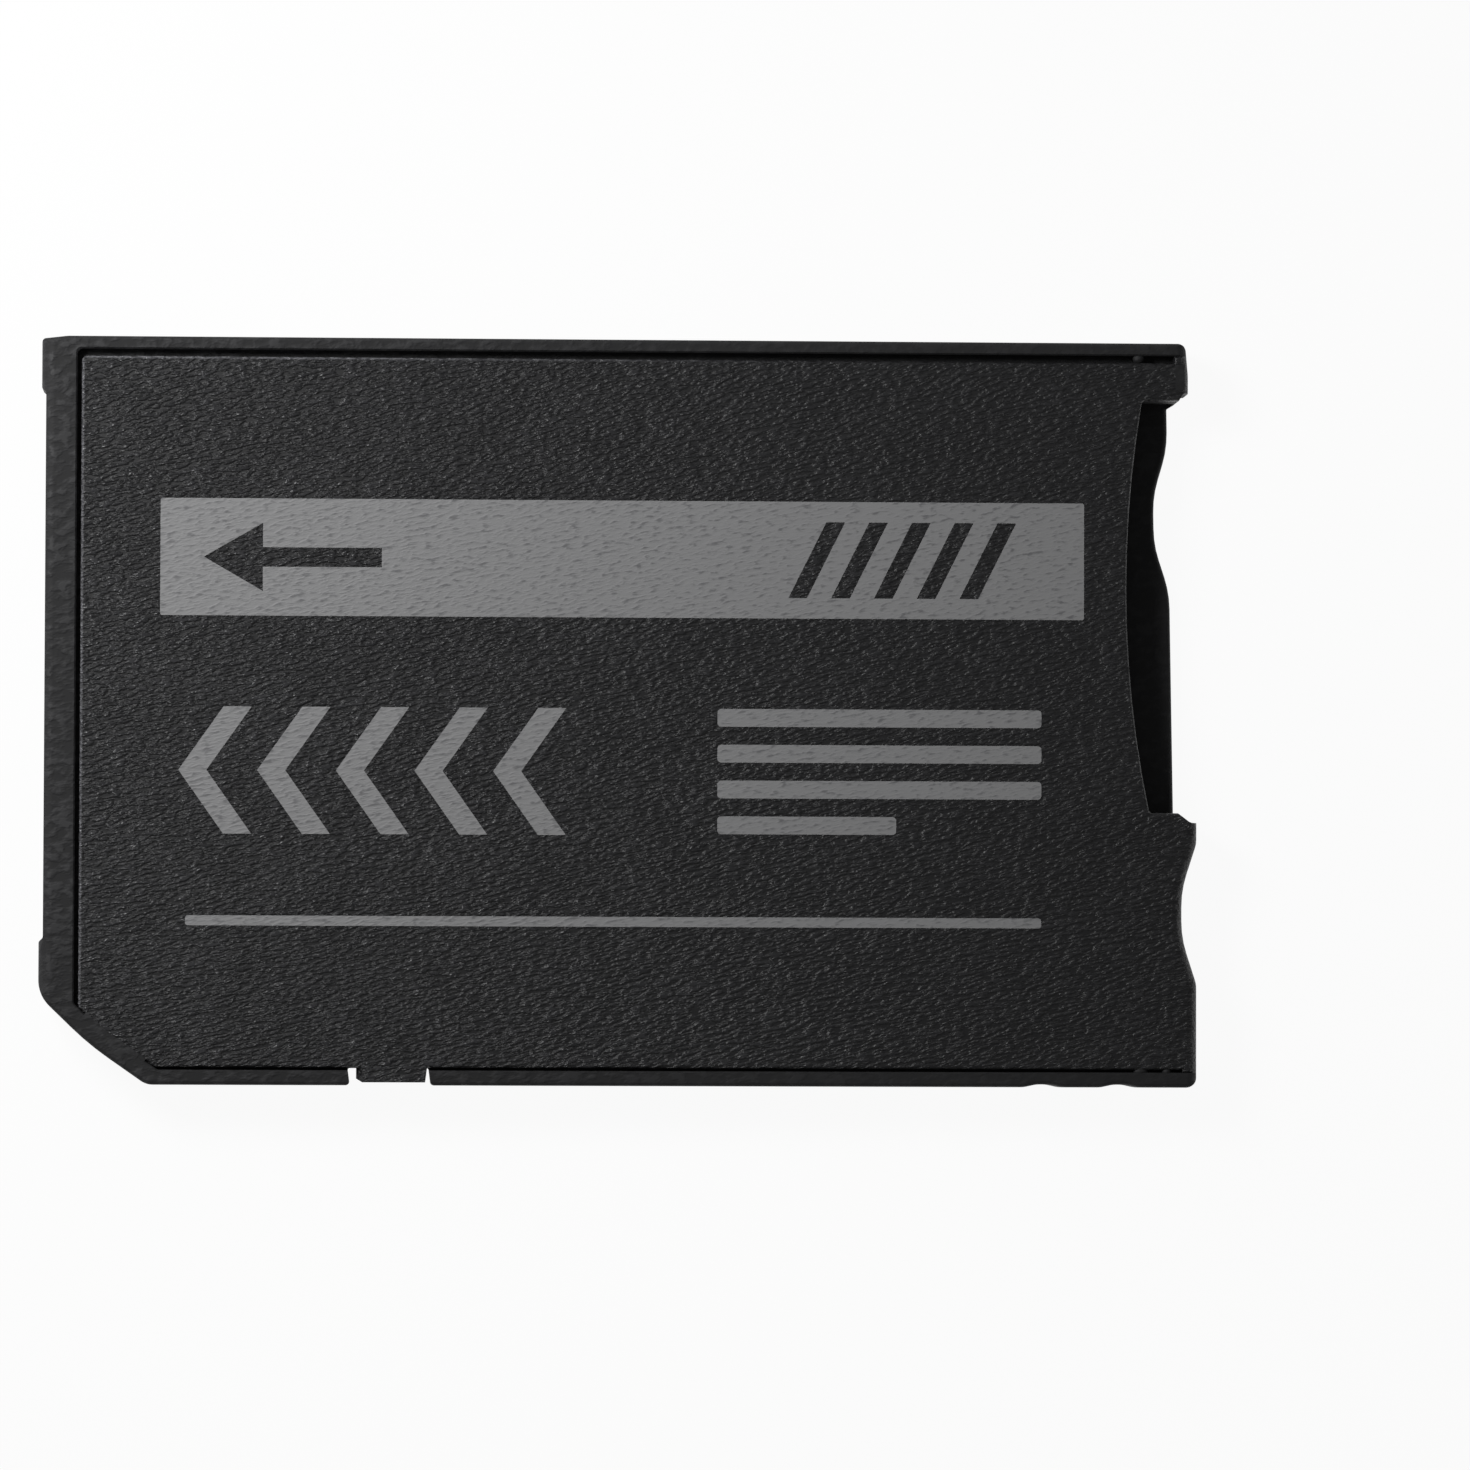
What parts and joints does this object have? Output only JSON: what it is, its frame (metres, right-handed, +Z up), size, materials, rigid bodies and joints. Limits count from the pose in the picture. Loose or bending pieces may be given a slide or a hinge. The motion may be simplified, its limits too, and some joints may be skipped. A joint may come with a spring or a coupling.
{
  "type": "memory card adapter",
  "caption": "Thin black moulded adapter with the outline of a stick-type memory card, a slot for a smaller card format, gold pads in a comb of windows and spring contacts inside.",
  "frame": {"origin": "middle of the underside", "axes": "+X points at the slot's mouth, -X at the end that enters the host, +Y at the long side without the latch notch, +Z up out of the label face"},
  "size_m": [0.031, 0.02, 0.0016],
  "materials": {
    "housing_plastic": "black moulded plastic with a fine leathery grain",
    "board_laminate": "green solder resist on glass-epoxy laminate",
    "chip_resin": "black moulded epoxy",
    "carrier_plastic": "black glass-filled plastic",
    "capacitor_ceramic": "fired ceramic with tinned end caps",
    "resistor_ceramic": "glazed ceramic with tinned end caps",
    "contact_gold": "gold plate",
    "spring_gold": "gold plate over copper alloy"
  },
  "bodies": {
    "root": {"bottom_shell": "housing_plastic", "top_cover": "housing_plastic", "circuit_board": "board_laminate", "controller_chip": "chip_resin", "contact_carrier": "carrier_plastic", "capacitor_01": "capacitor_ceramic", "capacitor_02": "capacitor_ceramic", "capacitor_03": "capacitor_ceramic", "capacitor_04": "capacitor_ceramic", "resistor_01": "resistor_ceramic", "resistor_02": "resistor_ceramic", "resistor_03": "resistor_ceramic", "host_contact_01": "contact_gold", "host_contact_02": "contact_gold", "host_contact_03": "contact_gold", "host_contact_04": "contact_gold", "host_contact_05": "contact_gold", "host_contact_06": "contact_gold", "host_contact_07": "contact_gold", "host_contact_08": "contact_gold", "host_contact_09": "contact_gold", "host_contact_10": "contact_gold", "card_spring_01": "spring_gold", "card_spring_02": "spring_gold", "card_spring_03": "spring_gold", "card_spring_04": "spring_gold", "card_spring_05": "spring_gold", "card_spring_06": "spring_gold", "card_spring_07": "spring_gold", "card_spring_08": "spring_gold"}
  },
  "joints": []
}
